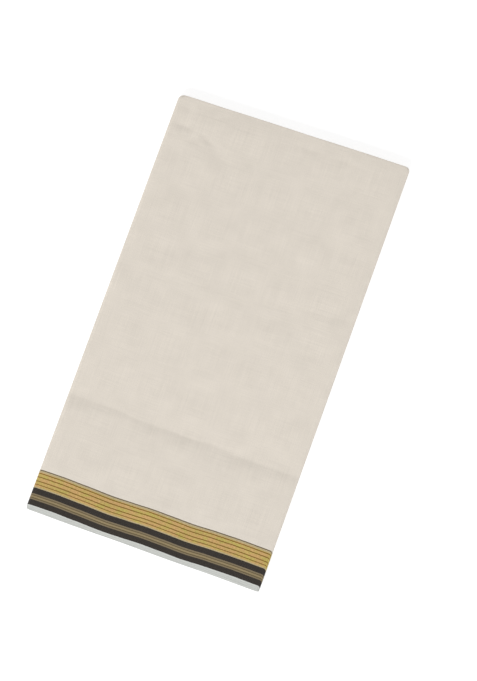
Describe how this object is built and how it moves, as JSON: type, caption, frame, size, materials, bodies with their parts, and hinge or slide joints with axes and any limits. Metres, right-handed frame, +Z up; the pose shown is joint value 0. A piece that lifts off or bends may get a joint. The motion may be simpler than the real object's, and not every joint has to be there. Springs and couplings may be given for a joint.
{
  "type": "folded cotton saree",
  "caption": "Plain-weave cotton saree with a striped border, folded flat into a rectangular bundle of stacked leaves that rests on a surface.",
  "frame": {"origin": "on the surface that the bundle lies on, under the middle of its box", "axes": "+Y towards the long fold of the cloth's width, -Y towards the hem of stacked selvedges and its striped border, +X towards the fore-edge with the two raw ends, -X towards the spine of the last fold, +Z up"},
  "size_m": [0.3396, 0.6132, 0.0168],
  "materials": {
    "cotton": "plain-weave unbleached cotton, matt, with a woven border of black and dull gold stripes",
    "hidden_cotton": "the same cotton, at the edges of the stacked leaves"
  },
  "bodies": {
    "root": {"outer_stretch": "cotton", "second_stretch": "cotton", "hidden_folds": "hidden_cotton"}
  },
  "joints": []
}
